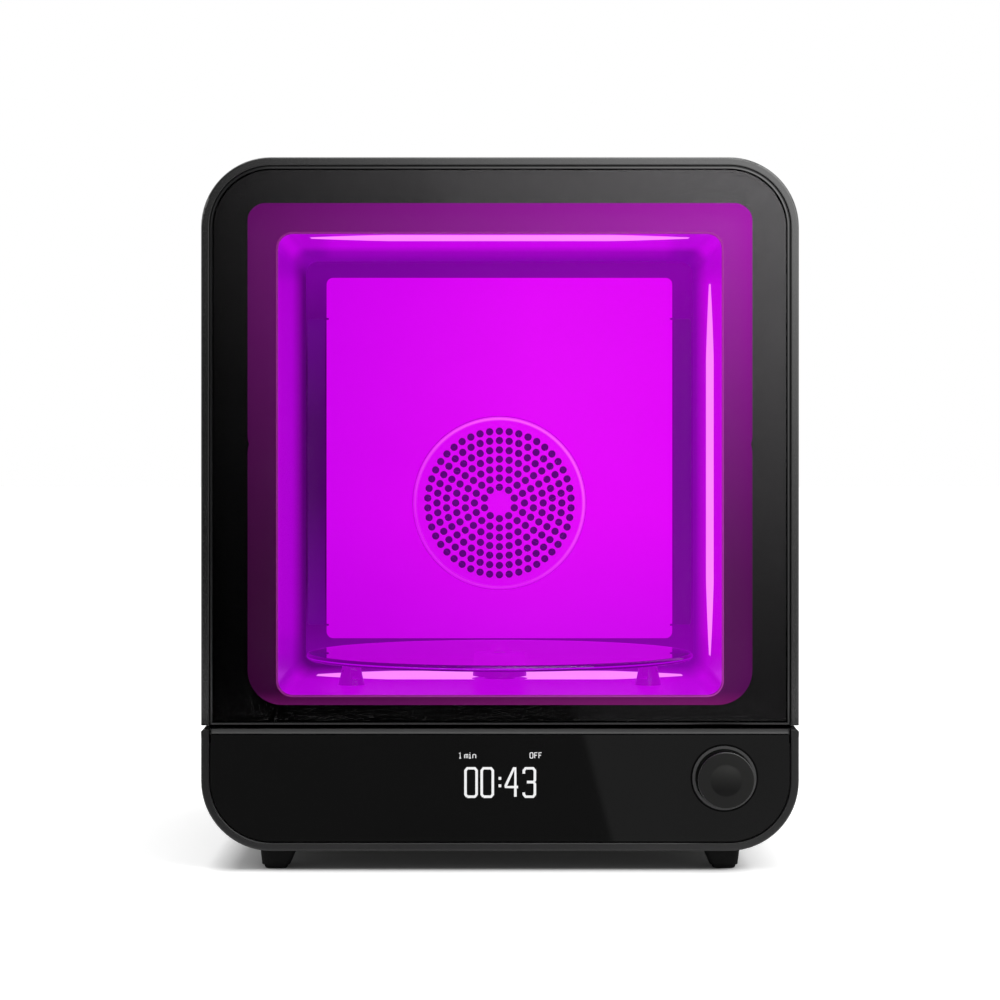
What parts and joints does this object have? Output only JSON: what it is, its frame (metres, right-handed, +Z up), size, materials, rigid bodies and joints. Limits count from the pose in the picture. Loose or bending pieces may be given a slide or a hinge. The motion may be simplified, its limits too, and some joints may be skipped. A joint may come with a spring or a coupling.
{
  "type": "dental lab light curing unit",
  "caption": "Benchtop light curing unit: glazed side-hinged door, lit heated chamber with glass turntable on rollers, perforated fan grille, base with display and turn-and-press knob.",
  "frame": {"origin": "on the floor plane, under the middle of the bounding box", "axes": "+Z up, the front faces -Y, +X to the right as seen from the front"},
  "size_m": [0.277, 0.3, 0.3308],
  "materials": {
    "shell_paint": "fine satin powder coat, near black",
    "rim_plastic": "satin moulded near-black plastic",
    "fascia_gloss": "high gloss black",
    "front_glass": "clear dark-tinted glass",
    "border_print": "black ceramic print",
    "inner_plastic": "dark moulded plastic",
    "knob_plastic": "fine matt black",
    "bezel_metal": "dark anodised ring",
    "foot_rubber": "black rubber",
    "seal_rubber": "soft black silicone",
    "liner_plastic": "glossy reflective moulding in violet light",
    "flange_plastic": "satin flange in violet light",
    "panel_light": "bright diffuser in violet light",
    "lamp_lens": "pale light bar lens",
    "table_glass": "clear glass",
    "hub_plastic": "moulded plastic",
    "roller_plastic": "white acetal",
    "bush_plastic": "natural acetal",
    "steel": "plain steel",
    "zinc": "zinc plated sheet",
    "board": "green circuit board with its parts",
    "light_board": "aluminium-core board with fins",
    "display": "dark display module",
    "pin_brass": "plated brass",
    "insulation": "mineral fibre",
    "fan_plastic": "black glass-filled plastic",
    "wheel_metal": "pressed aluminium",
    "heater": "heater sheath"
  },
  "bodies": {
    "cabinet": {"base_housing": "shell_paint", "fascia_panel": "fascia_gloss", "display_module": "display", "control_board": "board", "encoder_body": "zinc", "knob_bezel": "bezel_metal", "deck_plate": "rim_plastic", "power_supply": "board", "power_inlet": "inner_plastic", "inlet_pins": "pin_brass", "switch_frame": "inner_plastic", "feet": "foot_rubber", "upper_shell": "shell_paint", "rear_cover": "shell_paint", "cover_screws": "steel", "cooling_fan_frame": "fan_plastic", "front_flange": "flange_plastic", "door_seal": "seal_rubber", "strike_plates": "steel", "hinge_arm": "steel", "hinge_pins": "steel", "chamber_liner": "liner_plastic", "chamber_back": "liner_plastic", "back_light_panel": "panel_light", "fan_grille": "panel_light", "fan_housing": "zinc", "fan_motor": "zinc", "heater_ring": "heater", "temperature_probe": "steel", "plenum_cover": "zinc", "insulation_wrap": "insulation", "led_board_back": "light_board", "led_board_top": "light_board", "led_board_right": "light_board", "led_board_floor": "light_board", "light_bar_top": "lamp_lens", "light_bar_right": "lamp_lens", "light_bar_floor": "lamp_lens", "turntable_motor": "zinc", "floor_bush": "bush_plastic", "roller_posts": "hub_plastic", "roller_pins": "steel"},
    "door": {"door_frame": "rim_plastic", "door_glass": "front_glass", "glass_mask": "border_print", "door_inner_panel": "inner_plastic", "door_hardware": "steel", "hinge_bushes": "bush_plastic"},
    "turntable": {"turntable_glass": "table_glass", "turntable_hub": "hub_plastic", "drive_shaft": "steel"},
    "left_roller": {"roller_left": "roller_plastic"},
    "right_roller": {"roller_right": "roller_plastic"},
    "rear_roller": {"roller_rear": "roller_plastic"},
    "encoder_press": {"encoder_plunger": "bush_plastic"},
    "knob_assembly": {"knob": "knob_plastic", "encoder_shaft": "steel"},
    "fan_wheel": {"fan_impeller": "wheel_metal"},
    "cooling_rotor": {"cooling_fan_rotor": "fan_plastic"},
    "rocker": {"power_rocker": "knob_plastic"}
  },
  "joints": [
    {"name": "door_hinge", "type": "hinge", "parent": "cabinet", "child": "door", "pos_m": [-0.1315, -0.119, 0.2], "axis": [0, 0, -1], "range_deg": [0, 100]},
    {"name": "turntable_spin", "type": "hinge", "parent": "cabinet", "child": "turntable", "pos_m": [0, -0.00225, 0.08], "axis": [0, 0, 1], "continuous": true},
    {"name": "knob_press", "type": "slide", "parent": "cabinet", "child": "encoder_press", "axis": [0, 1, 0], "range_m": [0, 0.0008], "stiffness_N_per_m": 900},
    {"name": "knob_turn", "type": "hinge", "parent": "encoder_press", "child": "knob_assembly", "pos_m": [0.1039, -0.13, 0.04325], "axis": [0, 1, 0], "continuous": true},
    {"name": "chamber_fan_spin", "type": "hinge", "parent": "cabinet", "child": "fan_wheel", "pos_m": [0, 0.12, 0.1664], "axis": [0, 1, 0], "continuous": true},
    {"name": "cooling_fan_spin", "type": "hinge", "parent": "cabinet", "child": "cooling_rotor", "pos_m": [0.0725, 0.14, 0.2514], "axis": [0, 1, 0], "continuous": true},
    {"name": "power_rock", "type": "hinge", "parent": "cabinet", "child": "rocker", "pos_m": [-0.0685, 0.1445, 0.0394], "axis": [1, 0, 0], "range_deg": [0, 18]},
    {"name": "left_roller_spin", "type": "hinge", "parent": "cabinet", "child": "left_roller", "pos_m": [-0.07327, -0.04455, 0.08615], "axis": [-0.866, -0.5, 0], "continuous": true},
    {"name": "right_roller_spin", "type": "hinge", "parent": "cabinet", "child": "right_roller", "pos_m": [0.07327, -0.04455, 0.08615], "axis": [0.866, -0.5, 0], "continuous": true},
    {"name": "rear_roller_spin", "type": "hinge", "parent": "cabinet", "child": "rear_roller", "pos_m": [0, 0.08235, 0.08615], "axis": [0, 1, 0], "continuous": true}
  ],
  "couplings": [
    {"joint": "left_roller_spin", "follows": "turntable_spin", "ratio": -26.437},
    {"joint": "right_roller_spin", "follows": "turntable_spin", "ratio": -26.437},
    {"joint": "rear_roller_spin", "follows": "turntable_spin", "ratio": -26.437}
  ]
}
